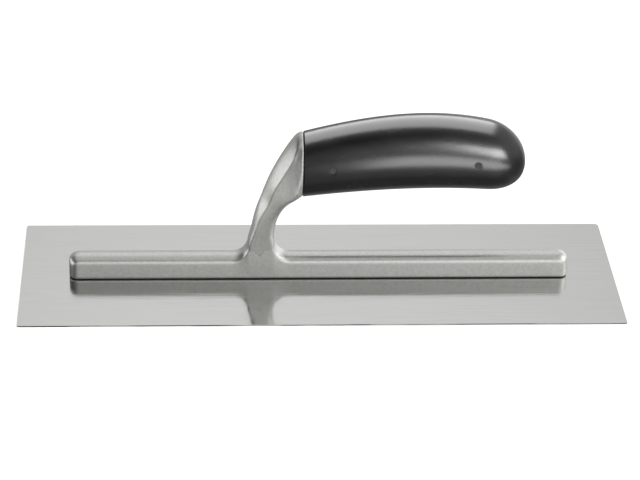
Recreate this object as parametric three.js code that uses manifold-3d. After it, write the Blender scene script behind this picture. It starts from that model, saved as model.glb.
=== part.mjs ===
// Steel finishing trowel. Millimetres, +Z up, +X towards the free end of the grip.
// The origin is the centre of the blade's underside.
//
// A thin sprung blade carries ten welded studs. They stand in blind pockets of one aluminium
// casting: a long mounting bar, a leaning shank and a tang. The moulded grip slides over the tang
// and two cross pins hold it there.
import * as THREE from 'three';
import { mergeVertices } from 'three/addons/utils/BufferGeometryUtils.js';
import Module from 'manifold-3d';

const wasm = await Module();
wasm.setup();

// ---- Driving dimensions ---------------------------------------------------------------------

const bladeLength = 356;
const bladeWidth = 120;
const bladeThickness = 0.7;
const bladeCornerRadius = 0.8;
const bladeWornCornerRadius = 2.5;

const filmThickness = 0.4;
const filmInset = 0.5;

const barSetback = 28.3; // blade end to bar end
const barWidth = 14.6;
const barHeight = 14;
const barCornerRadius = 4.8;
const barEdgeWidth = 6.4; // rounded top edge, measured across the top
const barEdgeDepth = 4.4; // and down the side
const barDraft = 0.6; // how far each side leans in from the bar's bottom to its top

const studCount = 10;
const studEndMargin = 14.7; // bar end to the first stud's axis
const studRadius = 2.4;
const studFlangeWidth = 0.8; // how far the weld flange stands out past the stud
const studFlangeHeight = 0.3;
const studBarbDepth = 0.35;
const studBarbPitch = 1.6;
const studTipChamfer = 0.5;
const pocketRoof = 7.3; // metal left over each stud's pocket

const shankReach = 24; // middle of the shank's foot to the joint face, along X
const shankFootLength = 15.2;
const shankOuterFillet = 8.5; // radius where the foot meets the bar
const shankInnerFillet = 9.5;
const shankFilletSweep = THREE.MathUtils.degToRad(76); // where the fillets hand over to the shank
const shankCreaseWidth = 3; // the same edge where the fillets end
const shankCreaseDepth = 3;
const shankRootDepth = 4; // how far the shank's own skin reaches down into the bar
const jointX = -11.5; // the flat face where the casting meets the grip
const handClearance = 39.3; // bar top to the grip's lower edge at the joint
const jointHalfHeight = 20.3;
const jointHalfWidth = 15.2;
const jointChamfer = 0.4;

const gripLength = 131.3;
const gripDomeLength = 23;
const gripDomePower = 2.25; // 2 is an ellipse, more is fuller
const gripWiden = 2.1; // half-width gained by the fattest part
const gripSwell = 3.0; // half-height gained by the fattest part
const gripArch = 8.8; // rise of the centre line over the joint
const gripDroop = 2.0; // rise left at the free end

const tangPastPin = 7.5; // second pin's axis to the tang's end
const tangRootHalfHeight = 11;
const tangRootHalfWidth = 7;
const tangTipHalfHeight = 7.5;
const tangTipHalfWidth = 5;

const pinRadius = 2;
const pinRecessRadius = 2.8;
const pinRecessDepth = 0.6;
const firstPinFromJoint = 16.8;
const secondPinFromTip = 29.6; // from the grip's free end

const ejectorMarkRadius = 3;
const ejectorMarkDepth = 0.3;

// Clearances
const jointGap = 0.3; // casting face to grip mouth
const socketClearance = 0.3; // tang to socket, all round
const socketEndClearance = 1.2;
const pinClearance = 0.25; // pin to its hole, radially
const studClearance = 0.3; // stud to its pocket, all round
const seatGap = 0.02; // between faces that rest on each other

// ---- Places worked out from them ------------------------------------------------------------

const barLength = bladeLength - 2 * barSetback;
const filmBottom = bladeThickness + seatGap;
const barBottom = filmBottom + filmThickness + seatGap;
const barTop = barBottom + barHeight;
const barHalfWidth = barWidth / 2;
const jointCentreZ = barTop + handClearance + jointHalfHeight;
const footX = jointX - shankReach;
const studSpan = barLength - 2 * studEndMargin;
const secondPinFromJoint = gripLength - secondPinFromTip;
const tangLength = secondPinFromJoint + tangPastPin;
const studBottom = bladeThickness + seatGap;
const pocketTop = barTop - pocketRoof;
const studHeight = pocketTop - studClearance - studBottom;
const studFlangeRadius = studRadius + studFlangeWidth;
const ejectorMarkX = footX - 0.1 * shankFootLength;
const ejectorMarkZ = barTop + 1.4 * ejectorMarkRadius;

// ---- Solids ---------------------------------------------------------------------------------

function solid(geometry) {
  const bare = geometry.clone();
  bare.deleteAttribute('normal');
  bare.deleteAttribute('uv');
  const merged = mergeVertices(bare, 1e-4);
  return new wasm.Manifold(new wasm.Mesh({
    numProp: 3,
    vertProperties: new Float32Array(merged.attributes.position.array),
    triVerts: new Uint32Array(merged.index.array),
  }));
}

function geometryOf(body) {
  const mesh = body.getMesh();
  const geometry = new THREE.BufferGeometry();
  geometry.setAttribute('position', new THREE.BufferAttribute(mesh.vertProperties, 3));
  geometry.setIndex(new THREE.BufferAttribute(mesh.triVerts, 1));
  geometry.computeVertexNormals();
  return geometry;
}

function material(name, colour, metalness, roughness) {
  return new THREE.MeshStandardMaterial({ name, color: colour, metalness, roughness });
}

function named(name, geometry, finish) {
  const mesh = new THREE.Mesh(geometry, finish);
  mesh.name = name;
  return mesh;
}

// A skin over rings of equal point count, closed at each end by a fan to a tip point.
function loft(rings, startTip, endTip) {
  const count = rings[0].length;
  const points = [startTip, ...rings.flat(), endTip];
  const last = points.length - 1;
  const index = [];
  for (let i = 0; i < count; i += 1) {
    const next = (i + 1) % count;
    index.push(0, 1 + next, 1 + i);
    index.push(last, last - count + i, last - count + next);
    for (let ring = 0; ring < rings.length - 1; ring += 1) {
      const a = 1 + ring * count + i;
      const b = 1 + ring * count + next;
      index.push(a, b, b + count, a, b + count, a + count);
    }
  }
  const geometry = new THREE.BufferGeometry().setFromPoints(points);
  geometry.setIndex(index);
  return geometry;
}

// A cubic rail: the value at s (0 to 1) between four evenly spaced controls.
function rail(controls, s) {
  const r = 1 - s;
  return controls[0] * r ** 3 + 3 * controls[1] * r * r * s
    + 3 * controls[2] * r * s * s + controls[3] * s ** 3;
}

// A rounded rectangle in plan, with one radius for each corner:
// right rear, left rear, left front, right front.
function roundedRectangle(length, width, radii) {
  const [rearRight, rearLeft, frontLeft, frontRight] = radii;
  const x = length / 2;
  const y = width / 2;
  const shape = new THREE.Shape();
  shape.moveTo(x, y - rearRight);
  shape.absarc(x - rearRight, y - rearRight, rearRight, 0, Math.PI / 2);
  shape.absarc(-x + rearLeft, y - rearLeft, rearLeft, Math.PI / 2, Math.PI);
  shape.absarc(-x + frontLeft, -y + frontLeft, frontLeft, Math.PI, 1.5 * Math.PI);
  shape.absarc(x - frontRight, -y + frontRight, frontRight, 1.5 * Math.PI, 2 * Math.PI);
  return shape;
}

function evenCorners(radius) {
  return [radius, radius, radius, radius];
}

function crossCylinder(radius, halfLength, x, z, sides = 24) {
  const geometry = new THREE.CylinderGeometry(radius, radius, 2 * halfLength, sides);
  geometry.translate(x, 0, z);
  return geometry;
}

function uprightCylinder(radius, bottom, top, x, sides = 20) {
  const geometry = new THREE.CylinderGeometry(radius, radius, top - bottom, sides);
  geometry.rotateX(Math.PI / 2);
  geometry.translate(x, 0, (bottom + top) / 2);
  return geometry;
}

function studPlaces() {
  const pitch = studSpan / (studCount - 1);
  return Array.from({ length: studCount }, (_, i) => -studSpan / 2 + i * pitch);
}

// ---- The grip's form, which the socket, the tang and the pins follow --------------------------

function gripShare(x) {
  return (x - jointX) / gripLength;
}

function gripCentreZ(x) {
  return jointCentreZ + rail([0, gripArch, 1.5 * gripArch, gripDroop], gripShare(x));
}

// How far the section has shrunk towards the rounded free end: 1 along the body, 0 at the tip.
function domeFactor(x) {
  const past = x - (jointX + gripLength - gripDomeLength);
  const share = Math.min(Math.max(past / gripDomeLength, 0), 1);
  return (1 - share ** gripDomePower) ** (1 / gripDomePower);
}

function gripHalfHeight(x) {
  const h = jointHalfHeight;
  const body = rail([h, h + 1.15 * gripSwell, h + 1.7 * gripSwell, h - 0.4 * gripSwell], gripShare(x));
  return body * domeFactor(x);
}

function gripHalfWidth(x) {
  const w = jointHalfWidth;
  const body = rail([w, w + 0.5 * gripWiden, w + 1.3 * gripWiden, w + 0.9 * gripWiden], gripShare(x));
  return body * domeFactor(x);
}

// An oval section in a plane of constant X, counter-clockwise when seen from +X.
function ovalRing(x, z, halfHeight, halfWidth, count) {
  return Array.from({ length: count }, (_, i) => {
    const angle = (2 * Math.PI * i) / count;
    return new THREE.Vector3(x, halfWidth * Math.cos(angle), z + halfHeight * Math.sin(angle));
  });
}

function gripSkin(count, bodySteps, domeSteps) {
  const domeStart = jointX + gripLength - gripDomeLength;
  const mouth = jointX + jointGap;
  const stations = [];
  for (let i = 0; i <= bodySteps; i += 1) {
    stations.push(mouth + jointChamfer + ((domeStart - mouth - jointChamfer) * i) / bodySteps);
  }
  for (let i = 1; i < domeSteps; i += 1) {
    stations.push(domeStart + gripDomeLength * Math.sin((Math.PI / 2) * (i / domeSteps)));
  }
  const rings = stations.map(
    (x) => ovalRing(x, gripCentreZ(x), gripHalfHeight(x), gripHalfWidth(x), count),
  );
  rings.unshift(ovalRing(
    mouth,
    gripCentreZ(mouth),
    gripHalfHeight(mouth) - jointChamfer,
    gripHalfWidth(mouth) - jointChamfer,
    count,
  ));
  const tip = jointX + gripLength;
  return loft(
    rings,
    new THREE.Vector3(mouth, 0, gripCentreZ(mouth)),
    new THREE.Vector3(tip, 0, gripCentreZ(tip)),
  );
}

// The tang's shape, grown by a clearance all round for the socket that takes it.
function tangSkin(start, end, clearance) {
  const count = 24;
  const steps = 12;
  const rings = [];
  for (let i = 0; i <= steps; i += 1) {
    const x = start + ((end - start) * i) / steps;
    const share = Math.max((x - jointX) / tangLength, 0);
    const halfHeight = THREE.MathUtils.lerp(tangRootHalfHeight, tangTipHalfHeight, share);
    const halfWidth = THREE.MathUtils.lerp(tangRootHalfWidth, tangTipHalfWidth, share);
    rings.push(ovalRing(x, gripCentreZ(x), halfHeight + clearance, halfWidth + clearance, count));
  }
  return loft(
    rings,
    new THREE.Vector3(start, 0, gripCentreZ(start)),
    new THREE.Vector3(end, 0, gripCentreZ(end)),
  );
}

function pinPlaces() {
  return [firstPinFromJoint, secondPinFromJoint].map((fromJoint) => {
    const x = jointX + fromJoint;
    return { x, z: gripCentreZ(x), halfLength: gripHalfWidth(x) - pinRecessDepth };
  });
}

// ---- Blade, bonding film and studs -----------------------------------------------------------

function makeBlade() {
  const radius = bladeCornerRadius;
  const outline = roundedRectangle(
    bladeLength,
    bladeWidth,
    [bladeWornCornerRadius, radius, radius, radius],
  );
  const geometry = new THREE.ExtrudeGeometry(outline, {
    depth: bladeThickness,
    bevelEnabled: false,
    curveSegments: 6,
  });
  return named('blade', geometry, material('tempered_steel', 0xc4c4c2, 0.95, 0.35));
}

function makeFilm() {
  const outline = roundedRectangle(
    barLength - 2 * filmInset,
    barWidth - 2 * filmInset,
    evenCorners(barCornerRadius - filmInset),
  );
  outline.holes = studPlaces().map((x) => {
    const hole = new THREE.Path();
    hole.absarc(x, 0, studFlangeRadius + studClearance, 0, 2 * Math.PI, true);
    return hole;
  });
  const geometry = new THREE.ExtrudeGeometry(outline, {
    depth: filmThickness,
    bevelEnabled: false,
    curveSegments: 10,
  });
  geometry.translate(0, 0, filmBottom);
  return named('bonding_film', geometry, material('bonding_film', 0x2a2a28, 0, 0.8));
}

// A weld stud: a flange that is welded to the blade, and a shank with two ring barbs.
function makeStud(number, x) {
  const profile = [
    new THREE.Vector2(0, 0),
    new THREE.Vector2(studFlangeRadius, 0),
    new THREE.Vector2(studFlangeRadius, studFlangeHeight),
    new THREE.Vector2(studRadius - studBarbDepth, studFlangeHeight),
  ];
  for (const barb of [1, 2]) {
    const height = studFlangeHeight + barb * studBarbPitch;
    profile.push(new THREE.Vector2(studRadius, height));
    profile.push(new THREE.Vector2(studRadius - studBarbDepth, height + 0.1 * studBarbPitch));
  }
  profile.push(new THREE.Vector2(studRadius, studHeight - studTipChamfer));
  profile.push(new THREE.Vector2(studRadius - studTipChamfer, studHeight));
  profile.push(new THREE.Vector2(0, studHeight));
  const geometry = new THREE.LatheGeometry(profile, 16);
  geometry.rotateX(Math.PI / 2);
  geometry.translate(x, 0, studBottom);
  const finish = material('weld_stud_steel', 0x9a9a96, 0.9, 0.4);
  return named(`weld_stud_${number}`, geometry, finish);
}

// ---- The casting: bar, shank and tang in one piece -------------------------------------------

// One section of the bar in a plane of constant X: flat underneath, with sides that lean in and
// rounded top edges.
function barRing(x, halfWidth, top, edgeWidth, edgeDepth) {
  const steps = 6;
  const topHalfWidth = halfWidth - barDraft;
  const ring = [new THREE.Vector3(x, halfWidth, barBottom)];
  for (const side of [1, -1]) {
    for (let i = 0; i <= steps; i += 1) {
      const angle = (Math.PI / 2) * ((side === 1 ? i : steps - i) / steps);
      const y = side * (topHalfWidth - edgeWidth * (1 - Math.cos(angle)));
      ring.push(new THREE.Vector3(x, y, top - edgeDepth * (1 - Math.sin(angle))));
    }
  }
  ring.push(new THREE.Vector3(x, -halfWidth, barBottom));
  return ring;
}

// The rounded end of the bar, as rings from the end face inwards.
function barEndRings(direction) {
  const steps = 6;
  return Array.from({ length: steps + 1 }, (_, i) => {
    const angle = (Math.PI / 2) * (i / steps);
    const inwards = barEdgeWidth * (1 - Math.cos(angle));
    const corner = Math.max(1 - inwards / barCornerRadius, 0);
    const halfWidth = barHalfWidth - barCornerRadius * (1 - Math.sqrt(1 - corner ** 2));
    const top = barTop - barEdgeDepth * (1 - Math.sin(angle));
    const edgeWidth = Math.min(barEdgeWidth, 0.9 * (halfWidth - barDraft));
    return barRing(direction * (barLength / 2 - inwards), halfWidth, top, edgeWidth, barEdgeDepth);
  });
}

// A point on the fillet between the bar's top and the foot, at an angle turned from the bar's top.
// direction is -1 on the outer side of the foot and 1 on its inner side.
function footFilletPoint(direction, angle) {
  const radius = direction < 0 ? shankOuterFillet : shankInnerFillet;
  const x = footX + direction * (shankFootLength / 2 + radius * (1 - Math.sin(angle)));
  return [x, barTop + radius * (1 - Math.cos(angle))];
}

// The fillet as sections of the bar, from the flat bar inwards to where the shank takes over.
function footFilletRings(direction) {
  const steps = 7;
  return Array.from({ length: steps + 1 }, (_, i) => {
    const share = i / steps;
    const [x, top] = footFilletPoint(direction, shankFilletSweep * share);
    const edgeWidth = THREE.MathUtils.lerp(barEdgeWidth, shankCreaseWidth, share);
    const edgeDepth = THREE.MathUtils.lerp(barEdgeDepth, shankCreaseDepth, share);
    return barRing(x, barHalfWidth, top, edgeWidth, edgeDepth);
  });
}

function makeBar() {
  const rings = [
    ...barEndRings(-1),
    ...footFilletRings(-1),
    ...footFilletRings(1).reverse(),
    ...barEndRings(1).reverse(),
  ];
  const middle = (barBottom + barTop) / 2;
  return loft(
    rings,
    new THREE.Vector3(-barLength / 2, 0, middle),
    new THREE.Vector3(barLength / 2, 0, middle),
  );
}

// The shank's side view: pairs of points, one on its outer ridge and one on its inner side,
// from the foot inside the bar up to the joint face.
// halfWidth is half its width across Y. crown is how deep the rounded outer face is, and
// innerDepth how deep the rounded inner side is. ridge is the share of the width that the outer
// face takes. flat (0 to 1) flattens both faces between rounded corners, and oval (0 to 1) blends
// the section into the grip's oval.
function shankStations() {
  const up = (share) => barTop + share * (jointCentreZ - barTop);
  const along = (share) => footX + share * shankReach;
  const station = (outer, inner, halfWidth, crown, innerDepth, ridge, flat, oval) => ({
    outer: new THREE.Vector3(outer[0], 0, outer[1]),
    inner: new THREE.Vector3(inner[0], 0, inner[1]),
    halfWidth,
    crown,
    innerDepth,
    ridge,
    flat,
    oval,
  });
  const side = barHalfWidth;
  const foot = barHalfWidth - barDraft;
  const wide = jointHalfWidth;
  const lipRound = shankCreaseDepth * Math.cos(shankFilletSweep);
  const jointTop = jointCentreZ + jointHalfHeight;
  const jointFoot = jointCentreZ - jointHalfHeight;
  const flange = jointX - jointChamfer;
  const outerLip = footFilletPoint(-1, shankFilletSweep);
  const innerLip = footFilletPoint(1, shankFilletSweep);
  const root = barTop - shankRootDepth;
  return [
    station([outerLip[0] + 1, root], [innerLip[0] - 1, root], foot, lipRound, lipRound, 1, 0.75, 0),
    station(outerLip, innerLip, foot, lipRound, lipRound, 1, 0.75, 0),
    station([along(-0.245), up(0.282)], [along(0.33), up(0.251)], side - 0.3, 1.9, 3, 1, 0.4, 0),
    station([along(-0.145), up(0.48)], [along(0.395), up(0.397)], side + 0.5, 3.4, 3.5, 0.98, 0.2, 0),
    station([along(0), up(0.667)], [along(0.52), up(0.511)], side + 1.8, 5, 4, 0.96, 0, 0),
    station([along(0.19), up(0.875)], [along(0.66), up(0.589)], side + 3.6, 5.2, 4.5, 0.94, 0, 0),
    station([along(0.445), up(1.083)], [along(0.81), up(0.641)], side + 5.3, 6.4, 5, 0.92, 0, 0),
    station([along(0.73), up(1.26)], [along(0.92), up(0.661)], wide - 1, 5.4, 8, 0.85, 0, 0.15),
    station(
      [along(0.87), jointTop - 1.2],
      [along(0.96), jointFoot + 0.1],
      wide - 0.2, 3.2, 12, 0.64, 0, 0.5,
    ),
    station([flange, jointTop], [flange, jointFoot], wide, 2, 16, 0.43, 0, 1),
  ];
}

// One ring of the shank. The outline is worked out for half a section, from the outer ridge to
// the inner side, and mirrored.
function shankRing(place, inset = 0) {
  const capSteps = 6;
  const sideSteps = 5;
  const innerSteps = 6;
  const length = place.outer.distanceTo(place.inner);
  const half = [];
  const widest = THREE.MathUtils.lerp(length - place.innerDepth, length / 2, place.oval);
  const crease = place.halfWidth * place.ridge;
  const capPower = THREE.MathUtils.lerp(1.6, 6, place.flat);
  const innerPower = THREE.MathUtils.lerp(0.8, 0.4, place.flat);
  const ovalHalf = (depth) => {
    const t = 1 - depth / (length / 2);
    return place.halfWidth * Math.sqrt(Math.max(1 - t * t, 0));
  };
  const add = (depth, plain) => {
    half.push([depth, THREE.MathUtils.lerp(plain, ovalHalf(depth), place.oval)]);
  };
  for (let i = 0; i <= capSteps; i += 1) {
    const t = i / capSteps;
    add(place.crown * t ** capPower, crease * t);
  }
  for (let i = 1; i <= sideSteps; i += 1) {
    const t = i / sideSteps;
    const bulge = (place.halfWidth - crease) * (1 - t) ** 2;
    add(place.crown + (widest - place.crown) * t, place.halfWidth - bulge);
  }
  for (let i = 1; i <= innerSteps; i += 1) {
    const angle = (Math.PI / 2) * (i / innerSteps);
    const rounded = Math.max(Math.cos(angle), 0) ** innerPower;
    add(widest + (length - widest) * Math.sin(angle), place.halfWidth * rounded);
  }
  const downwards = place.inner.clone().sub(place.outer).normalize();
  const shrink = (length - 2 * inset) / length;
  const point = ([depth, y], sign) => {
    const scaled = length / 2 + (depth - length / 2) * shrink;
    const width = y * (1 - inset / place.halfWidth);
    return place.outer.clone().addScaledVector(downwards, scaled).setY(sign * width);
  };
  const near = half.map((entry) => point(entry, -1));
  const far = half.slice(1, -1).reverse().map((entry) => point(entry, 1));
  return [...near, ...far];
}

function makeShank() {
  const stations = shankStations();
  const outerRail = new THREE.CatmullRomCurve3(stations.map((s) => s.outer), false, 'centripetal');
  const innerRail = new THREE.CatmullRomCurve3(stations.map((s) => s.inner), false, 'centripetal');
  const between = (key, t) => {
    const place = t * (stations.length - 1);
    const low = Math.min(Math.floor(place), stations.length - 2);
    return THREE.MathUtils.lerp(stations[low][key], stations[low + 1][key], place - low);
  };
  const steps = 4 * (stations.length - 1);
  const rings = [];
  for (let i = 0; i <= steps; i += 1) {
    const t = i / steps;
    rings.push(shankRing({
      outer: outerRail.getPoint(t),
      inner: innerRail.getPoint(t),
      halfWidth: between('halfWidth', t),
      crown: between('crown', t),
      innerDepth: between('innerDepth', t),
      ridge: between('ridge', t),
      flat: between('flat', t),
      oval: between('oval', t),
    }));
  }
  const flange = stations[stations.length - 1];
  const rim = shankRing(flange, jointChamfer);
  rings.push(rim.map((point) => point.clone().setX(jointX)));
  const middle = (ring) => ring.reduce((sum, p) => sum.add(p), new THREE.Vector3())
    .divideScalar(ring.length);
  return loft(rings, middle(rings[0]), middle(rings[rings.length - 1]));
}

function makeCasting() {
  let body = solid(makeBar()).add(solid(makeShank()));
  body = body.add(solid(tangSkin(jointX - 3, jointX + tangLength, 0)));
  for (const x of studPlaces()) {
    const pocket = uprightCylinder(studRadius + studClearance, barBottom - 1, pocketTop, x);
    body = body.subtract(solid(pocket));
  }
  for (const pin of pinPlaces()) {
    const hole = crossCylinder(pinRadius + pinClearance, pin.halfLength, pin.x, pin.z);
    body = body.subtract(solid(hole));
  }
  const mark = crossCylinder(ejectorMarkRadius, ejectorMarkDepth, ejectorMarkX, ejectorMarkZ);
  mark.translate(0, barDraft - barHalfWidth, 0);
  body = body.subtract(solid(mark));
  const finish = material('cast_aluminium', 0xb4b4b0, 0.85, 0.5);
  return named('handle_casting', geometryOf(body), finish);
}

// ---- Grip and its pins -----------------------------------------------------------------------

function makeGrip() {
  let body = solid(gripSkin(44, 24, 10));
  const socketEnd = jointX + tangLength + socketEndClearance;
  body = body.subtract(solid(tangSkin(jointX - 2, socketEnd, socketClearance)));
  for (const pin of pinPlaces()) {
    const through = 2 * pinRecessDepth + pin.halfLength;
    body = body.subtract(solid(crossCylinder(pinRadius + pinClearance, through, pin.x, pin.z)));
    for (const sideways of [-1, 1]) {
      const recess = crossCylinder(pinRecessRadius, pinRecessDepth, pin.x, pin.z, 28);
      recess.translate(0, sideways * (pin.halfLength + pinRecessDepth), 0);
      body = body.subtract(solid(recess));
    }
  }
  return named('grip', geometryOf(body), material('moulded_black_plastic', 0x1e1f21, 0, 0.45));
}

function makePin(number, pin) {
  const geometry = crossCylinder(pinRadius, pin.halfLength, pin.x, pin.z);
  return named(`grip_pin_${number}`, geometry, material('blackened_steel', 0x2b2b2d, 0.6, 0.5));
}

// ---- Assembly --------------------------------------------------------------------------------

const trowel = new THREE.Group();
trowel.name = 'finishing_trowel';
trowel.add(makeBlade(), makeFilm(), makeCasting(), makeGrip());
studPlaces().forEach((x, i) => trowel.add(makeStud(i + 1, x)));
pinPlaces().forEach((pin, i) => trowel.add(makePin(i + 1, pin)));

export default trowel;
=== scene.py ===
# %% [markdown]
# # A steel finishing trowel
# A finishing trowel is a thin sprung steel blade under a light cast handle.
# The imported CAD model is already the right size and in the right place, so this lesson only
# gives it finishes, replaces the two pieces whose curves need a finer mesh, and sets up a small
# photo studio around it. Everything is in metres in the CAD frame: +Z is up and +X points to
# the free end of the grip.

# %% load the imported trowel
import bmesh
import bpy
import math
from mathutils import Matrix, Vector


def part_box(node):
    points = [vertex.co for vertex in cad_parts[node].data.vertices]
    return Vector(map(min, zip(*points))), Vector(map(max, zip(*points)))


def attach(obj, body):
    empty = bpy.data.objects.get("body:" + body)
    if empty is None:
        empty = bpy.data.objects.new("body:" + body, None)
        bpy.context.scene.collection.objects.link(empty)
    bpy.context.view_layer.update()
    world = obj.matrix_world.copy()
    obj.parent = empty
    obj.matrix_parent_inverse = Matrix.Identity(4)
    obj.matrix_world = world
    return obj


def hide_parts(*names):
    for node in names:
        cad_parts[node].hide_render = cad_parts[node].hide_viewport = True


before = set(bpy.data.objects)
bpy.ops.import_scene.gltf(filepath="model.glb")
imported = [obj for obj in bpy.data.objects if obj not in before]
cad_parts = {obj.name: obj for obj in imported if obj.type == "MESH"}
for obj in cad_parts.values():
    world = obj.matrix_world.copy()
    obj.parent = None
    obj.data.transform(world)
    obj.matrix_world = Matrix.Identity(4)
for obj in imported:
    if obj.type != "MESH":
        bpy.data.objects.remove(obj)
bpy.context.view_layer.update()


# %% [markdown]
# ## The camera
# A trowel is usually pictured from above its long side, far away with a long lens, so that the
# blade keeps nearly parallel edges. The camera could be placed by hand, but angles say more:
# it looks down by some 29 degrees, stands a little to the left, and leans by less than 2.

# %% place the camera
MM = 0.001


def aim_camera(target_mm, distance_mm, azimuth, elevation, roll, lens):
    """A camera that looks at a point from an azimuth (to the left), a height angle and a roll."""
    azimuth, elevation, roll = (math.radians(v) for v in (azimuth, elevation, roll))
    forward = Vector((
        math.sin(azimuth) * math.cos(elevation),
        math.cos(azimuth) * math.cos(elevation),
        -math.sin(elevation),
    ))
    right = Vector((math.cos(azimuth), -math.sin(azimuth), 0))
    up = right.cross(forward)
    tilted_right = math.cos(roll) * right + math.sin(roll) * up
    tilted_up = math.cos(roll) * up - math.sin(roll) * right
    turn = Matrix((tilted_right, tilted_up, -forward)).transposed()
    data = bpy.data.cameras.new("studio_camera")
    data.lens = lens
    data.clip_end = 20
    camera = bpy.data.objects.new("studio_camera", data)
    place = Vector(target_mm) * MM - forward * distance_mm * MM
    camera.matrix_world = Matrix.Translation(place) @ turn.to_4x4()
    bpy.context.scene.collection.objects.link(camera)
    bpy.context.scene.camera = camera
    return camera


camera = aim_camera(target_mm=(0, 0, 23.4), distance_mm=1497, azimuth=3.68, elevation=29.29,
                    roll=1.61, lens=140.8)
print("camera at", [round(v, 3) for v in camera.matrix_world.translation])

# %% [markdown]
# ## Helpers for materials
# Each finish is a small network of nodes. One function adds any node with its settings and its
# links, so a network reads as a list that ends in the shader. Colours are written as the hex
# values a screen shows, and one function turns them into the linear values that the renderer mixes.

# %% colour, scale and node helpers
def linear(hex_colour):
    """An sRGB hex colour as linear RGBA."""
    channels = [int(hex_colour[i:i + 2], 16) / 255 for i in (1, 3, 5)]
    curve = [c / 12.92 if c <= 0.04045 else ((c + 0.055) / 1.055) ** 2.4 for c in channels]
    return (*curve, 1.0)


def per_metre(size_mm):
    """The texture scale at which one blob is size_mm wide."""
    return 1 / (size_mm * MM)


def add(tree, kind, settings=None, links=None):
    """Adds a node. Settings go to its own properties or its inputs. Links feed its inputs from a
    socket, or from a node's first output."""
    node = tree.nodes.new(kind)
    for key, value in (settings or {}).items():
        if isinstance(key, str) and key.islower() and hasattr(node, key):
            setattr(node, key, value)
        else:
            node.inputs[key].default_value = value
    for key, source in (links or {}).items():
        socket = source.outputs[0] if isinstance(source, bpy.types.Node) else source
        tree.links.new(socket, node.inputs[key])
    return node


def new_material(name):
    """A material with an empty tree, and object coordinates in metres."""
    material = bpy.data.materials.new(name)
    material.use_nodes = True
    tree = material.node_tree
    tree.nodes.clear()
    coords = add(tree, "ShaderNodeTexCoord").outputs["Object"]
    return material, tree, coords


# A noise keeps mostly between 0.3 and 0.7. This spreads that part over 0 to 1.
FULL = {"From Min": 0.3, "From Max": 0.7}
print("white is", linear("#ffffff")[:3], "and mid grey", round(linear("#808080")[0], 3))

# %% [markdown]
# ## The finishes
# Blade: spring steel, tempered and brushed along its length. The brushing makes grooves along X,
# so light spreads across them and stays sharp along them: an anisotropic metal, and a nearly
# polished one. Real grooves are much finer than 0.1 mm. They are drawn 0.3 mm wide so that they
# show, and only the deepest are given relief, as long scratches.

# %% brushed spring steel
def brushed_spring_steel():
    material, tree, coords = new_material("tempered_spring_steel_brushed")
    lengthways = add(tree, "ShaderNodeMapping", {"Scale": (1 / 200, 1, 1)}, {"Vector": coords})
    grooves = add(tree, "ShaderNodeTexNoise", {"Scale": per_metre(0.3)}, {"Vector": lengthways})
    tone = add(tree, "ShaderNodeMapRange", FULL, {"Value": grooves})
    colour = add(tree, "ShaderNodeMix",
                 {"data_type": "RGBA", 6: linear("#bcbcba"), 7: linear("#c4c4c2")}, {0: tone})
    scratches = add(tree, "ShaderNodeMapRange", {"From Min": 0.55, "From Max": 0.85},
                    {"Value": grooves})
    relief = add(tree, "ShaderNodeBump", {"Distance": 0.016 * MM}, {"Height": scratches})
    wiped = add(tree, "ShaderNodeMapping", {"Scale": (1 / 3, 1, 1)}, {"Vector": coords})
    smears = add(tree, "ShaderNodeTexNoise", {"Scale": per_metre(22)}, {"Vector": wiped})
    gloss = add(tree, "ShaderNodeMapRange", {**FULL, "To Min": 0.09, "To Max": 0.11},
                {"Value": smears})
    across = add(tree, "ShaderNodeCombineXYZ", {"Y": 1.0})
    shader = add(tree, "ShaderNodeBsdfPrincipled", {"Metallic": 1.0, "Anisotropic": 0.6}, {
        "Base Color": colour.outputs[2],
        "Roughness": gloss,
        "Normal": relief,
        "Tangent": across,
    })
    add(tree, "ShaderNodeOutputMaterial", None, {"Surface": shader})
    return material


blade_steel = brushed_spring_steel()
print("made", blade_steel.name)

# %% [markdown]
# Casting: aluminium cast in a metal mould, then tumbled. It keeps a fine grain over soft hollows
# of a few millimetres and faint stains, so it shines without mirroring. The grain is drawn 0.45 mm
# wide, a little coarser than it is, so that it shows.

# %% tumbled cast aluminium
def tumbled_cast_aluminium():
    material, tree, coords = new_material("cast_aluminium_tumbled")
    stains = add(tree, "ShaderNodeTexNoise", {"Scale": per_metre(1.6), "Detail": 3.0},
                 {"Vector": coords})
    tone = add(tree, "ShaderNodeMapRange", FULL, {"Value": stains})
    colour = add(tree, "ShaderNodeMix",
                 {"data_type": "RGBA", 6: linear("#c2c2be"), 7: linear("#cfcfcc")}, {0: tone})
    grain = add(tree, "ShaderNodeTexNoise", {"Scale": per_metre(0.45), "Detail": 3.0},
                {"Vector": coords})
    gloss = add(tree, "ShaderNodeMapRange", {**FULL, "To Min": 0.3, "To Max": 0.4},
                {"Value": grain})
    hollows = add(tree, "ShaderNodeTexNoise", {"Scale": per_metre(3.5)}, {"Vector": coords})
    soft = add(tree, "ShaderNodeBump", {"Distance": 0.03 * MM}, {"Height": hollows})
    relief = add(tree, "ShaderNodeBump", {"Distance": 0.012 * MM},
                 {"Height": grain, "Normal": soft})
    shader = add(tree, "ShaderNodeBsdfPrincipled", {"Metallic": 1.0}, {
        "Base Color": colour.outputs[2],
        "Roughness": gloss,
        "Normal": relief,
    })
    add(tree, "ShaderNodeOutputMaterial", None, {"Surface": shader})
    return material


casting_metal = tumbled_cast_aluminium()
print("made", casting_metal.name)

# %% [markdown]
# Grip: a hard black plastic with the faint texture of its mould, satin rather than glossy. Plastics
# have an IOR near 1.5. A lower one is set here, because a tent is bright all round and would
# otherwise veil the black with grey.

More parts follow.
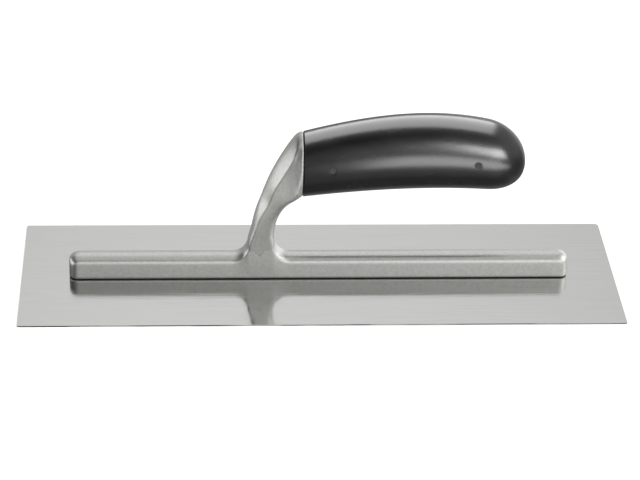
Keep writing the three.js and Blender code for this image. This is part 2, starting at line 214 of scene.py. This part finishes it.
# %% moulded black plastic
def moulded_black_plastic():
    material, tree, coords = new_material("moulded_black_plastic_satin")
    lengthways = add(tree, "ShaderNodeMapping", {"Scale": (1 / 3, 1, 1)}, {"Vector": coords})
    flow = add(tree, "ShaderNodeTexNoise", {"Scale": per_metre(9)}, {"Vector": lengthways})
    tone = add(tree, "ShaderNodeMapRange", FULL, {"Value": flow})
    colour = add(tree, "ShaderNodeMix",
                 {"data_type": "RGBA", 6: linear("#0f0f10"), 7: linear("#151517")}, {0: tone})
    gloss = add(tree, "ShaderNodeMapRange", {**FULL, "To Min": 0.24, "To Max": 0.28},
                {"Value": flow})
    texture = add(tree, "ShaderNodeTexNoise", {"Scale": per_metre(0.35)}, {"Vector": coords})
    relief = add(tree, "ShaderNodeBump", {"Distance": 0.003 * MM}, {"Height": texture})
    shader = add(tree, "ShaderNodeBsdfPrincipled", {"IOR": 1.33}, {
        "Base Color": colour.outputs[2],
        "Roughness": gloss,
        "Normal": relief,
    })
    add(tree, "ShaderNodeOutputMaterial", None, {"Surface": shader})
    return material


grip_plastic = moulded_black_plastic()
print("made", grip_plastic.name)

# %% [markdown]
# Bonding film: a black rubbery layer squeezed out to the edge of the bar. Its near-black is also
# painted shade: it stands for the dark line of shadow in the gap under the bar. Rubber is matt,
# and its cut edge is speckled.

# %% bonding film rubber
def black_film_as_painted_gap_shade():
    material, tree, coords = new_material("rubber_film_and_painted_gap_shade")
    speckle = add(tree, "ShaderNodeTexNoise", {"Scale": per_metre(0.6)}, {"Vector": coords})
    tone = add(tree, "ShaderNodeMapRange", FULL, {"Value": speckle})
    # painted shade: the film's near-black colours stand for the shadow in the gap between bar and
    # blade
    colour = add(tree, "ShaderNodeMix",
                 {"data_type": "RGBA", 6: linear("#161615"), 7: linear("#242422")}, {0: tone})
    relief = add(tree, "ShaderNodeBump", {"Distance": 0.02 * MM}, {"Height": speckle})
    shader = add(tree, "ShaderNodeBsdfPrincipled", {"Roughness": 0.8}, {
        "Base Color": colour.outputs[2],
        "Normal": relief,
    })
    add(tree, "ShaderNodeOutputMaterial", None, {"Surface": shader})
    return material


film_rubber_and_gap_shade = black_film_as_painted_gap_shade()
print("made", film_rubber_and_gap_shade.name)

# %% [markdown]
# Small steel parts: the weld studs are turned from bar, which leaves fine rings round them, and
# the grip's cross pins are blackened and rubbed a little lighter in places.

# %% stud and pin steel
def turned_stud_steel():
    material, tree, coords = new_material("weld_stud_steel_turned")
    around = add(tree, "ShaderNodeMapping", {"Scale": (1 / 20, 1 / 20, 1)}, {"Vector": coords})
    rings = add(tree, "ShaderNodeTexNoise", {"Scale": per_metre(0.3)}, {"Vector": around})
    tone = add(tree, "ShaderNodeMapRange", FULL, {"Value": rings})
    colour = add(tree, "ShaderNodeMix",
                 {"data_type": "RGBA", 6: linear("#8f8e8a"), 7: linear("#a9a8a3")}, {0: tone})
    gloss = add(tree, "ShaderNodeMapRange", {**FULL, "To Min": 0.3, "To Max": 0.42},
                {"Value": rings})
    relief = add(tree, "ShaderNodeBump", {"Distance": 0.01 * MM}, {"Height": rings})
    shader = add(tree, "ShaderNodeBsdfPrincipled", {"Metallic": 1.0}, {
        "Base Color": colour.outputs[2],
        "Roughness": gloss,
        "Normal": relief,
    })
    add(tree, "ShaderNodeOutputMaterial", None, {"Surface": shader})
    return material


def blackened_pin_steel():
    material, tree, coords = new_material("steel_pin_blackened")
    rub = add(tree, "ShaderNodeTexNoise", {"Scale": per_metre(0.8), "Detail": 3.0},
              {"Vector": coords})
    tone = add(tree, "ShaderNodeMapRange", FULL, {"Value": rub})
    colour = add(tree, "ShaderNodeMix",
                 {"data_type": "RGBA", 6: linear("#46464a"), 7: linear("#5a5a5e")}, {0: tone})
    gloss = add(tree, "ShaderNodeMapRange", {**FULL, "To Min": 0.35, "To Max": 0.5},
                {"Value": rub})
    relief = add(tree, "ShaderNodeBump", {"Distance": 0.006 * MM}, {"Height": rub})
    shader = add(tree, "ShaderNodeBsdfPrincipled", {"Metallic": 0.8}, {
        "Base Color": colour.outputs[2],
        "Roughness": gloss,
        "Normal": relief,
    })
    add(tree, "ShaderNodeOutputMaterial", None, {"Surface": shader})
    return material


stud_steel = turned_stud_steel()
pin_steel = blackened_pin_steel()
print("made", stud_steel.name, "and", pin_steel.name)

# %% [markdown]
# ## Dress the pieces that stay
# Blade, film, studs and pins are right as they come from the CAD, so they only get their finish.
# The casting and the grip are left alone, because finer ones replace them further down.

# %% dress the CAD nodes
def dress(piece, material):
    """Gives a mesh one material and nothing else."""
    piece.data.materials.clear()
    piece.data.materials.append(material)


finishes = {"blade": blade_steel, "bonding_film": film_rubber_and_gap_shade, "weld_stud": stud_steel,
            "grip_pin": pin_steel}
dressed = 0
for name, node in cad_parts.items():
    for start, finish in finishes.items():
        if name.startswith(start):
            dress(node, finish)
            dressed += 1
print("dressed", dressed, "of", len(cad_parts), "CAD nodes")

# %% [markdown]
# ## The places that the new pieces are built from
# The casting and the grip are made again on a finer mesh, so their sizes have to match the CAD.
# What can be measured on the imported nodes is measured; the rest repeats the CAD's dimensions. The
# joint is where the shank's rim meets the mouth of the grip, and lengths are in millimetres.

# %% measure the CAD
joint_gap = 0.3
joint_half_width = 15.2
joint_half_height = 20.3
bar_height = 14
bar_past_film = 0.5
hand_clearance = 39.3
shank_reach = 24

film_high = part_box("bonding_film")[1] / MM
casting_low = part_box("handle_casting")[0] / MM
grip_low, grip_high = (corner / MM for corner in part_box("grip"))
joint_x = grip_low.x - joint_gap
grip_length = grip_high.x - joint_x
bar_bottom = casting_low.z
bar_top = bar_bottom + bar_height
bar_half_width = film_high.y + bar_past_film
bar_half_length = -casting_low.x
joint_z = bar_top + hand_clearance + joint_half_height
foot_x = joint_x - shank_reach
print("joint at x =", round(joint_x, 2), "z =", round(joint_z, 2), "bar top", round(bar_top, 2))

# %% [markdown]
# ## A skin over sections
# Both pieces are lofts: closed sections, all with the same number of points, joined into a skin
# and closed at each end with a fan of triangles. A cylinder is the shortest loft, of two sections.

# %% loft helper
def loft(name, rings, start_tip, end_tip):
    """A closed mesh object over rings of points in mm."""
    count = len(rings[0])
    points = [start_tip, *(p for ring in rings for p in ring), end_tip]
    last = len(points) - 1
    faces = []
    for i in range(count):
        following = (i + 1) % count
        faces.append((0, 1 + following, 1 + i))
        faces.append((last, last - count + i, last - count + following))
        for ring in range(len(rings) - 1):
            a = 1 + ring * count + i
            b = 1 + ring * count + following
            faces.append((a, b, b + count, a + count))
    mesh = bpy.data.meshes.new(name)
    mesh.from_pydata([Vector(p) * MM for p in points], [], faces)
    mesh.update()
    piece = bpy.data.objects.new(name, mesh)
    bpy.context.scene.collection.objects.link(piece)
    return piece


def mix(a, b, share):
    """The value a share of the way from a to b."""
    return a + (b - a) * share


def cylinder(name, radius, low, high, sides=48):
    """A closed cylinder between two points in mm."""
    axis = (Vector(high) - Vector(low)).normalized()
    side = axis.orthogonal().normalized()
    other = axis.cross(side)

    def ring(centre):
        turns = [2 * math.pi * i / sides for i in range(sides)]
        return [Vector(centre) + radius * (math.cos(t) * side + math.sin(t) * other) for t in turns]

    return loft(name, [ring(low), ring(high)], low, high)


print("loft helpers ready")

# %% [markdown]
# ## Cutting and joining
# Holes are cut with the Boolean modifier, which is written into the mesh at once, so that the next
# step starts from plain faces.

# %% cut, merge and shade helpers
def apply_modifiers(piece):
    """Writes an object's modifiers into its mesh."""
    bpy.context.view_layer.update()
    graph = bpy.context.evaluated_depsgraph_get()
    done = bpy.data.meshes.new_from_object(piece.evaluated_get(graph))
    piece.modifiers.clear()
    piece.data = done


def cut(piece, tools):
    """Takes each tool out of the piece, and removes the tools."""
    for tool in tools:
        step = piece.modifiers.new("cut", "BOOLEAN")
        step.operation = "DIFFERENCE"
        step.solver = "EXACT"
        step.object = tool
        apply_modifiers(piece)
        bpy.data.objects.remove(tool)


def merge(name, pieces):
    """Copies several meshes into one object without joining their surfaces."""
    joined = bmesh.new()
    for piece in pieces:
        joined.from_mesh(piece.data)
        bpy.data.objects.remove(piece)
    mesh = bpy.data.meshes.new(name)
    joined.to_mesh(mesh)
    joined.free()
    result = bpy.data.objects.new(name, mesh)
    bpy.context.scene.collection.objects.link(result)
    return result


def shade_smooth(piece, sharpest):
    """Smooth shading, with hard edges where faces meet at more than the sharpest angle."""
    for face in piece.data.polygons:
        face.use_smooth = True
    piece.data.set_sharp_from_angle(angle=math.radians(sharpest))


print("cutting helpers ready")

# %% [markdown]
# ## The line of the grip
# The grip's centre line rises from the joint and falls again to the free end. Its height and its
# width follow cubic rails as well, and the tang and the pins inside follow the same line.

# %% rails of the grip
def rail(controls, share):
    """A cubic between four evenly spaced controls."""
    rest = 1 - share
    a, b, c, d = controls
    return a * rest**3 + 3 * b * rest * rest * share + 3 * c * rest * share * share + d * share**3


grip_arch = 8.8
grip_droop = 2.0
grip_swell = 3.0
grip_widen = 2.1
dome_length = 23
dome_power = 2.25


def grip_share(x):
    """How far along the grip a place is, from 0 to 1."""
    return (x - joint_x) / grip_length


def grip_centre_z(x):
    return joint_z + rail((0, grip_arch, 1.5 * grip_arch, grip_droop), grip_share(x))


def dome_factor(x):
    """How far the section has shrunk towards the rounded free end."""
    share = min(max((x - (joint_x + grip_length - dome_length)) / dome_length, 0), 1)
    return (1 - share**dome_power) ** (1 / dome_power)


def grip_half_height(x):
    h, s = joint_half_height, grip_swell
    return rail((h, h + 1.15 * s, h + 1.7 * s, h - 0.4 * s), grip_share(x)) * dome_factor(x)


def grip_half_width(x):
    w, g = joint_half_width, grip_widen
    return rail((w, w + 0.5 * g, w + 1.3 * g, w + 0.9 * g), grip_share(x)) * dome_factor(x)


def oval(x, z, half_height, half_width, count):
    """An oval section in a plane of constant X, in mm."""
    turns = [2 * math.pi * i / count for i in range(count)]
    return [(x, half_width * math.cos(t), z + half_height * math.sin(t)) for t in turns]


print("grip is", round(2 * grip_half_height(joint_x + 60), 1), "mm high at 60 mm")

# %% [markdown]
# ## The tang, and the pins that cross it
# The tang is a tapered oval stub of the casting inside the grip. The socket is the same shape
# grown by its clearance. Two steel pins cross both, in holes that are a little wider.

# %% tang and pins
pin_boxes = [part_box("grip_pin_1"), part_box("grip_pin_2")]
pin_places = [(low.x + high.x) / 2 / MM for low, high in pin_boxes]
pin_radius = 2.0
hole_clearance = 0.25
past_last_pin = 7.5
tang_length = pin_places[1] + past_last_pin - joint_x
# half height and half width of its oval, at the joint and at its tip
tang_root = (11, 7)
tang_tip = (7.5, 5)


def tang(name, start, end, clearance):
    """The tang's skin between two places along X, grown by a clearance all round."""
    steps, rings = 24, []
    for i in range(steps + 1):
        x = start + (end - start) * i / steps
        share = max((x - joint_x) / tang_length, 0)
        half_height, half_width = (mix(root, tip, share) + clearance
                                   for root, tip in zip(tang_root, tang_tip))
        rings.append(oval(x, grip_centre_z(x), half_height, half_width, 48))
    return loft(name, rings, (start, 0, grip_centre_z(start)), (end, 0, grip_centre_z(end)))


def pin_hole_tools():
    """A cylinder at each pin that goes right through tang and grip."""
    radius, past_grip = pin_radius + hole_clearance, 2 * joint_half_width
    return [
        cylinder("pin_hole_tool", radius, (x, -past_grip, grip_centre_z(x)),
                 (x, past_grip, grip_centre_z(x)))
        for x in pin_places
    ]


print("tang reaches", round(tang_length, 1), "mm into the grip")

# %% [markdown]
# ## The grip
# A moulded part is as smooth as its mould, so its skin needs many sections where the CAD made do
# with few. The socket, the pin holes and the shallow recesses over the pins are cut from it.

# %% grip
socket_clearance = 0.3
socket_past_tang = 1.2
recess_radius = 2.8
recess_depth = 0.6


def grip_skin():
    """The grip's outside, from its rounded lip at the joint to the dome at its free end."""
    sides, body_steps, dome_steps, lip = 128, 90, 36, 0.4
    dome_start = joint_x + grip_length - dome_length
    mouth = joint_x + joint_gap
    stations = [mouth + lip + (dome_start - mouth - lip) * i / body_steps
                for i in range(body_steps + 1)]
    stations += [dome_start + dome_length * math.sin(math.pi / 2 * i / dome_steps)
                 for i in range(1, dome_steps)]
    rings = [oval(mouth, grip_centre_z(mouth), grip_half_height(mouth) - lip,
                  grip_half_width(mouth) - lip, sides)]
    rings += [oval(x, grip_centre_z(x), grip_half_height(x), grip_half_width(x), sides)
              for x in stations]
    tip = joint_x + grip_length
    return loft("grip_moulding", rings, (mouth, 0, grip_centre_z(mouth)),
                (tip, 0, grip_centre_z(tip)))


def recess_tools():
    """Shallow round recesses over both ends of each pin."""
    tools = []
    for x in pin_places:
        floor = grip_half_width(x) - recess_depth
        for side in (-1, 1):
            tools.append(cylinder("recess_tool", recess_radius, (x, side * floor, grip_centre_z(x)),
                                  (x, side * (floor + 5), grip_centre_z(x))))
    return tools


grip = grip_skin()
socket_end = joint_x + tang_length + socket_past_tang
cut(grip, [tang("socket_tool", joint_x - 2, socket_end, socket_clearance)])
cut(grip, pin_hole_tools())
cut(grip, recess_tools())
shade_smooth(grip, sharpest=32)
dress(grip, grip_plastic)
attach(grip, "root")
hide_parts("grip")
print("grip has", len(grip.data.polygons), "faces")

# %% [markdown]
# ## The casting
# Bar, shank and tang are one piece of metal. It could be modelled as one careful mesh, but a
# cast part has no hard edges: every corner is a small fillet. So the solids are laid into each
# other, melted together on a fine voxel grid, and smoothed, which rounds all edges at once.
# The bar comes first. Its sides lean in by a small draft, so that it leaves the mould, and its top
# is crowned: a quarter of a wide oval on each side. It sweeps up into the foot of the shank.

# %% bar of the casting
draft = 0.6
end_radius = 4.8
edge_width, edge_depth = 6.4, 4.4
# the foot: its fillets along the bar, and the narrower edges at their upper end
foot_length = 15.2
outer_fillet = 8.5
inner_fillet = 9.5
fillet_sweep = math.radians(76)
crease_width, crease_depth = 3.0, 3.0


def bar_ring(x, half_width, top, width, depth):
    """A section of the bar: flat underneath, leaning sides and broad rounded top edges."""
    steps = 10
    upper = half_width - draft
    ring = [(x, half_width, bar_bottom)]
    for side in (1, -1):
        for i in range(steps + 1):
            turn = math.pi / 2 * (i if side == 1 else steps - i) / steps
            ring.append((x, side * (upper - width * (1 - math.cos(turn))),
                         top - depth * (1 - math.sin(turn))))
    return ring + [(x, -half_width, bar_bottom)]


def bar_end_rings(direction):
    """The rounded end of the bar, from its end face inwards."""
    steps, rings = 12, []
    for i in range(steps + 1):
        turn = math.pi / 2 * i / steps
        inwards = edge_width * (1 - math.cos(turn))
        corner = max(1 - inwards / end_radius, 0)
        half_width = bar_half_width - end_radius * (1 - math.sqrt(1 - corner**2))
        top = bar_top - edge_depth * (1 - math.sin(turn))
        rings.append(bar_ring(direction * (bar_half_length - inwards), half_width, top,
                              min(edge_width, 0.9 * (half_width - draft)), edge_depth))
    return rings


def fillet_point(direction, turn):
    """A point on the fillet between the bar's top and the shank's foot."""
    radius = outer_fillet if direction < 0 else inner_fillet
    x = foot_x + direction * (foot_length / 2 + radius * (1 - math.sin(turn)))
    return x, bar_top + radius * (1 - math.cos(turn))


def foot_fillet_rings(direction):
    """The bar's sections from its top up the foot's fillet."""
    steps, rings = 18, []
    for i in range(steps + 1):
        share = i / steps
        x, top = fillet_point(direction, fillet_sweep * share)
        rings.append(bar_ring(x, bar_half_width, top, mix(edge_width, crease_width, share),
                              mix(edge_depth, crease_depth, share)))
    return rings


bar_rings = bar_end_rings(-1) + foot_fillet_rings(-1)
bar_rings += foot_fillet_rings(1)[::-1] + bar_end_rings(1)[::-1]
half_way = (bar_bottom + bar_top) / 2
bar = loft("casting_bar", bar_rings, (-bar_half_length, 0, half_way),
           (bar_half_length, 0, half_way))
print("bar is", round(2 * bar_half_length, 1), "x", round(2 * bar_half_width, 1), "mm")

# %% [markdown]
# Ten blind pockets in the underside take the blade's studs. Their places are read from the
# packed studs.

# %% stud pockets
pocket_radius = 2.7
pocket_roof_gap = 0.3
pocket_tools = []
for name in sorted(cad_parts):
    if name.startswith("weld_stud"):
        low, high = (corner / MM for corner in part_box(name))
        x = (low.x + high.x) / 2
        pocket_tools.append(cylinder("pocket_tool", pocket_radius, (x, 0, bar_bottom - 1),
                                     (x, 0, high.z + pocket_roof_gap)))
cut(bar, pocket_tools)
print(len(pocket_tools), "pockets cut")

# %% [markdown]
# The shank leans over from its foot and swells into the oval of the grip. Its side view is two
# rails: the outer one looks away from the hand, and the inner one faces the fingers. Sections are
# set at ten stations and smoothly blended between them, so they carry the crease along its side.

# %% stations of the shank
def up(share):
    """A height above the bar, as a share of the height of the joint's centre."""
    return bar_top + share * (joint_z - bar_top)


def along(share):
    """A place along X, as a share of the way from the foot to the joint."""
    return foot_x + share * shank_reach


outer_lip = fillet_point(-1, fillet_sweep)
inner_lip = fillet_point(1, fillet_sweep)
lip_round = crease_depth * math.cos(fillet_sweep)
root = bar_top - 4
rim_step = 0.4
rim_x = joint_x - rim_step
joint_top = joint_z + joint_half_height
joint_foot = joint_z - joint_half_height
side, foot, wide = bar_half_width, bar_half_width - draft, joint_half_width
# Each station has an outer and an inner point in the side view, then these sizes in mm: its half
# width, the depth of the crown between the outer point and the crease, and the depth of the round
# inner side. Three shares from 0 to 1 follow: the width at the crease against the full width, how
# flat the crown is, and how much of the section is the grip's oval.
stations = [
    ((outer_lip[0] + 1, root), (inner_lip[0] - 1, root), foot, lip_round, lip_round, 1, 0.75, 0),
    (outer_lip, inner_lip, foot, lip_round, lip_round, 1, 0.75, 0),
    ((along(-0.245), up(0.282)), (along(0.33), up(0.251)), side - 0.3, 1.9, 3, 1, 0.4, 0),
    ((along(-0.145), up(0.48)), (along(0.395), up(0.397)), side + 0.5, 3.4, 3.5, 0.98, 0.2, 0),
    ((along(0), up(0.667)), (along(0.52), up(0.511)), side + 1.8, 5, 4, 0.96, 0, 0),
    ((along(0.19), up(0.875)), (along(0.66), up(0.589)), side + 3.6, 5.2, 4.5, 0.94, 0, 0),
    ((along(0.445), up(1.083)), (along(0.81), up(0.641)), side + 5.3, 6.4, 5, 0.92, 0, 0),
    ((along(0.73), up(1.26)), (along(0.92), up(0.661)), wide - 1, 5.4, 8, 0.85, 0, 0.15),
    ((along(0.87), joint_top - 1.2), (along(0.96), joint_foot + 0.1), wide - 0.2, 3.2, 12, 0.64, 0,
     0.5),
    ((rim_x, joint_top), (rim_x, joint_foot), wide, 2, 16, 0.43, 0, 1),
]
print("the shank has", len(stations), "stations")

# %% [markdown]
# A Catmull-Rom curve passes through all its points, so the stations can be set one by one. Its
# spans are weighted by their length for the rails, which keeps them from looping or bulging.

# %% sections of the shank
def smooth_rail(points, shares, power=0.5):
    """Points at some shares of a Catmull-Rom curve through points. With power 0, spans count alike."""
    result = []
    for share in shares:
        place = share * (len(points) - 1)
        i = min(int(place), len(points) - 2)
        p1, p2 = points[i], points[i + 1]
        p0 = points[i - 1] if i > 0 else p1 * 2 - p2
        p3 = points[i + 2] if i + 2 < len(points) else p2 * 2 - p1
        d0, d1, d2 = ((b - a).length ** power for a, b in ((p0, p1), (p1, p2), (p2, p3)))
        t1 = ((p1 - p0) / d0 - (p2 - p0) / (d0 + d1) + (p2 - p1) / d1) * d1
        t2 = ((p2 - p1) / d1 - (p3 - p1) / (d1 + d2) + (p3 - p2) / d2) * d1
        t = place - i
        result.append(p1 * (2 * t**3 - 3 * t**2 + 1) + t1 * (t**3 - 2 * t**2 + t)
                      + p2 * (3 * t**2 - 2 * t**3) + t2 * (t**3 - t**2))
    return result


def shank_ring(outer, inner, half_width, crown, inner_depth, ridge, flat, roundness, inset=0):
    """One section of the shank, from its outer point round the near side and back."""
    cap_steps, side_steps, inner_steps = 14, 12, 14
    length = (inner - outer).length
    widest = mix(length - inner_depth, length / 2, roundness)
    crease = half_width * ridge
    cap_power = mix(1.6, 6, flat)
    inner_power = mix(0.8, 0.4, flat)
    half = []

    def point(depth, plain):
        t = 1 - depth / (length / 2)
        round_half = half_width * math.sqrt(max(1 - t * t, 0))
        half.append((depth, mix(plain, round_half, roundness)))

    for i in range(cap_steps + 1):
        t = i / cap_steps
        point(crown * t**cap_power, crease * t)
    for i in range(1, side_steps + 1):
        t = i / side_steps
        point(crown + (widest - crown) * t, half_width - (half_width - crease) * (1 - t) ** 2)
    for i in range(1, inner_steps + 1):
        turn = math.pi / 2 * i / inner_steps
        point(widest + (length - widest) * math.sin(turn),
              half_width * max(math.cos(turn), 0) ** inner_power)
    towards = (inner - outer).normalized()
    shrink = (length - 2 * inset) / length

    def place(entry, sign):
        depth, y = entry
        spot = outer + towards * (length / 2 + (depth - length / 2) * shrink)
        return (spot.x, sign * y * (1 - inset / half_width), spot.z)

    return [place(e, -1) for e in half] + [place(e, 1) for e in half[-2:0:-1]]


def shank_rings():
    """All the sections, from the root in the bar to the small step at the joint."""
    per_span = 14
    steps = per_span * (len(stations) - 1)
    shares = [i / steps for i in range(steps + 1)]
    outer = smooth_rail([Vector((x, 0, z)) for (x, z), *_ in stations], shares)
    inner = smooth_rail([Vector((x, 0, z)) for _, (x, z), *_ in stations], shares)
    sizes = smooth_rail([Vector(station[2:5]) for station in stations], shares, power=0)
    forms = smooth_rail([Vector(station[5:8]) for station in stations], shares, power=0)
    rings = []
    for outer_point, inner_point, size, form in zip(outer, inner, sizes, forms):
        limited = [min(max(v, 0), 1) for v in form]
        rings.append(shank_ring(outer_point, inner_point, *size, *limited))
    rim = shank_ring(outer[-1], inner[-1], *stations[-1][2:], inset=rim_step)
    rings.append([(joint_x, y, z) for _, y, z in rim])
    return rings


def middle(ring):
    """The average of a ring's points."""
    return sum((Vector(p) for p in ring), Vector()) / len(ring)


rings = shank_rings()
shank = loft("casting_shank", rings, middle(rings[0]), middle(rings[-1]))
print("shank has", len(rings), "sections")

# %% [markdown]
# ## One casting
# The voxel grid is 0.5 mm, fine enough to keep the crease down the shank's side, and a few
# rounds of smoothing leave the soft edges of a tumbled casting. The round mark of an ejector pin,
# on the foot, is cut after that, and the tang is added as it is, because the grip hides it.

# %% melt the casting together
mark_radius = 3
mark_depth = 0.3
mark_x = foot_x - 1.5
mark_z = bar_top + 1.4 * mark_radius
mark_floor = draft - bar_half_width + mark_depth


def melt(piece, voxel_mm, rounds):
    """Joins overlapping shells on a voxel grid and relaxes the result."""
    step = piece.modifiers.new("melt", "REMESH")
    step.mode = "VOXEL"
    step.voxel_size = voxel_mm * MM
    step.use_smooth_shade = True
    relax = piece.modifiers.new("relax", "SMOOTH")
    relax.factor = 0.5
    relax.iterations = rounds
    apply_modifiers(piece)


stub = tang("casting_tang", joint_x - 3, joint_x + tang_length, 0)
cut(stub, pin_hole_tools())
casting = merge("cast_handle", [bar, shank])
melt(casting, voxel_mm=0.5, rounds=6)
cut(casting, [cylinder("mark_tool", mark_radius, (mark_x, -9, mark_z),
                       (mark_x, mark_floor, mark_z))])
casting = merge("cast_handle", [casting, stub])
shade_smooth(casting, sharpest=50)
dress(casting, casting_metal)
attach(casting, "root")
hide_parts("handle_casting")
print("casting has", len(casting.data.polygons), "faces")

# %% [markdown]
# ## The studio
# The trowel lies on a white table in a light tent. Polished metal and satin plastic show their
# surroundings more than their own colour, so the tent's brightness is drawn as soft glows: each is
# a direction with an inner and an outer angle, and all of them add up. A negative one is a dark
# card. The brightest glow, on the right, lights the ends and fillets that face it. Those behind,
# some 22 and 30 degrees up, lie in the blade's mirror image, and the wide low one on the left
# lights the shank's outer side.

# %% light tent
world = bpy.data.worlds.new("light_tent")
bpy.context.scene.world = world
world.use_nodes = True
tent = world.node_tree
tent.nodes.clear()
towards_tent = add(tent, "ShaderNodeTexCoord").outputs["Generated"]


def direction(azimuth, elevation):
    """A direction by its azimuth from the back wall, clockwise, and its height angle."""
    azimuth, elevation = math.radians(azimuth), math.radians(elevation)
    return (math.sin(azimuth) * math.cos(elevation), math.cos(azimuth) * math.cos(elevation),
            math.sin(elevation))


def glow(azimuth, elevation, inner, outer, strength, squash=1):
    """A soft glow on the tent wall, full inside the inner angle and gone at the outer one. Squash
    makes it that many times lower than it is wide."""
    x, y, z = direction(azimuth, elevation)
    centre = Vector((x, y, z * squash)).normalized()
    stretched = add(tent, "ShaderNodeVectorMath", {"operation": "MULTIPLY", 1: (1, 1, squash)},
                    {0: towards_tent})
    ray = add(tent, "ShaderNodeVectorMath", {"operation": "NORMALIZE"}, {0: stretched})
    nearness = add(tent, "ShaderNodeVectorMath",
                   {"operation": "DOT_PRODUCT", 1: tuple(centre)}, {0: ray})
    return add(tent, "ShaderNodeMapRange", {
        "interpolation_type": "SMOOTHSTEP",
        "From Min": math.cos(math.radians(outer)),
        "From Max": math.cos(math.radians(inner)),
        "To Max": strength,
    }, {"Value": nearness.outputs["Value"]})


tent_white = 0.45
# azimuth, elevation, inner, outer, strength, and squash where it isn't 1
glows = [
    (3, 30, 1, 11, 0.18),
    (3, 22, 8, 38, 0.16),
    (0, 48, 8, 30, 0.35),
    (0, 85, 25, 60, 0.22),
    (36, 5, 10, 34, 0.9),
    (88, 26, 12, 40, 1.5),
    (140, 12, 18, 50, 0.8),
    (178, 10, 12, 34, 0.5),
    (180, -40, 14, 36, 0.5),
    (180, 42, 8, 24, -0.2),
    (215, 20, 10, 45, -0.3),
    (265, 2, 30, 48, 1.15, 3),
    (275, 36, 14, 42, -0.4),
]
wall = add(tent, "ShaderNodeMath", {"operation": "ADD", 0: tent_white, 1: 0.0})
for place in glows:
    wall = add(tent, "ShaderNodeMath", {"operation": "ADD"}, {0: wall, 1: glow(*place)})
print("the tent has", len(glows), "glows")

# %% [markdown]
# Seen directly, the room around the trowel is plain white. The table has a panel of its own above
# it, and it is left out of mirror images, so that the metal shows only the tent.

# %% room and table
eye = add(tent, "ShaderNodeLightPath")
seen_in_metal = add(tent, "ShaderNodeBackground", {"Color": linear("#ffffff")}, {"Strength": wall})
seen_directly = add(tent, "ShaderNodeBackground", {"Color": linear("#ffffff"), "Strength": 1.0})
room = add(tent, "ShaderNodeMixShader", None, {
    0: eye.outputs["Is Camera Ray"],
    1: seen_in_metal,
    2: seen_directly,
})
add(tent, "ShaderNodeOutputWorld", None, {"Surface": room})
bpy.context.scene.view_settings.view_transform = "Standard"
bpy.context.scene.view_settings.look = "None"


def table(half_x, front, back):
    """A flat white table top that the blade rests on, in metres."""
    mesh = bpy.data.meshes.new("table_top")
    corners = [(-half_x, front, 0), (half_x, front, 0), (half_x, back, 0), (-half_x, back, 0)]
    mesh.from_pydata(corners, [], [(0, 1, 2, 3)])
    top = bpy.data.objects.new("table_top", mesh)
    bpy.context.scene.collection.objects.link(top)
    material, tree, coords = new_material("white_table_laminate")
    clouds = add(tree, "ShaderNodeTexNoise", {"Scale": per_metre(40)}, {"Vector": coords})
    colour = add(tree, "ShaderNodeMix",
                 {"data_type": "RGBA", 6: linear("#f2f2f1"), 7: linear("#f6f6f5")}, {0: clouds})
    shader = add(tree, "ShaderNodeBsdfPrincipled", {"Roughness": 0.9},
                 {"Base Color": colour.outputs[2]})
    add(tree, "ShaderNodeOutputMaterial", None, {"Surface": shader})
    dress(top, material)
    top.visible_glossy = False
    return top


def panel(name, place, target, width, height, radiance, receivers, diffuse=True):
    """A soft panel that faces a target and lights only the receivers, in metres. Without diffuse,
    it shows in their highlights alone."""
    data = bpy.data.lights.new(name, "AREA")
    data.shape = "RECTANGLE"
    data.size = width
    data.size_y = height
    data.energy = radiance * math.pi * width * height
    light = bpy.data.objects.new(name, data)
    facing = (Vector(target) - Vector(place)).to_track_quat("-Z", "Y")
    light.matrix_world = Matrix.Translation(place) @ facing.to_matrix().to_4x4()
    light.visible_camera = False
    light.visible_diffuse = diffuse
    bpy.context.scene.collection.objects.link(light)
    lit = bpy.data.collections.new(name + "_receivers")
    for receiver in receivers:
        lit.objects.link(receiver)
    light.light_linking.receiver_collection = lit


top = table(half_x=2.5, front=-2.0, back=3.0)
panel("table_panel", (0, 0.2, 1.6), (0, 0.1, 0), width=3, height=3, radiance=1.2, receivers=[top])
print("table", [round(v, 1) for v in top.dimensions])

# %% [markdown]
# Black plastic mirrors only a few hundredths of the light that falls on it, so it gets brighter
# strips of its own: one overhead for the long highlight on top, one in front on the right for the
# band along its side, and one flat on the table for its lower edge near the free end. They are
# left out of its diffuse light, which would turn the black to grey.

# %% strips for the grip
# name, place, target, width, height and radiance
strips = [
    ("grip_top_strip", (0.05, 0.46, 1.23), (0.05, 0, 0.08), 1.6, 1.94, 14),
    ("grip_front_strip", (0.74, -1.25, 0.38), (0.05, 0, 0.08), 0.9, 0.5, 38),
    ("grip_low_strip", (0.155, -0.32, 0.005), (0.155, -0.32, 1), 0.25, 0.36, 15),
]
for strip in strips:
    panel(*strip, receivers=[grip], diffuse=False)
print("hung", len(strips), "strips for the grip")
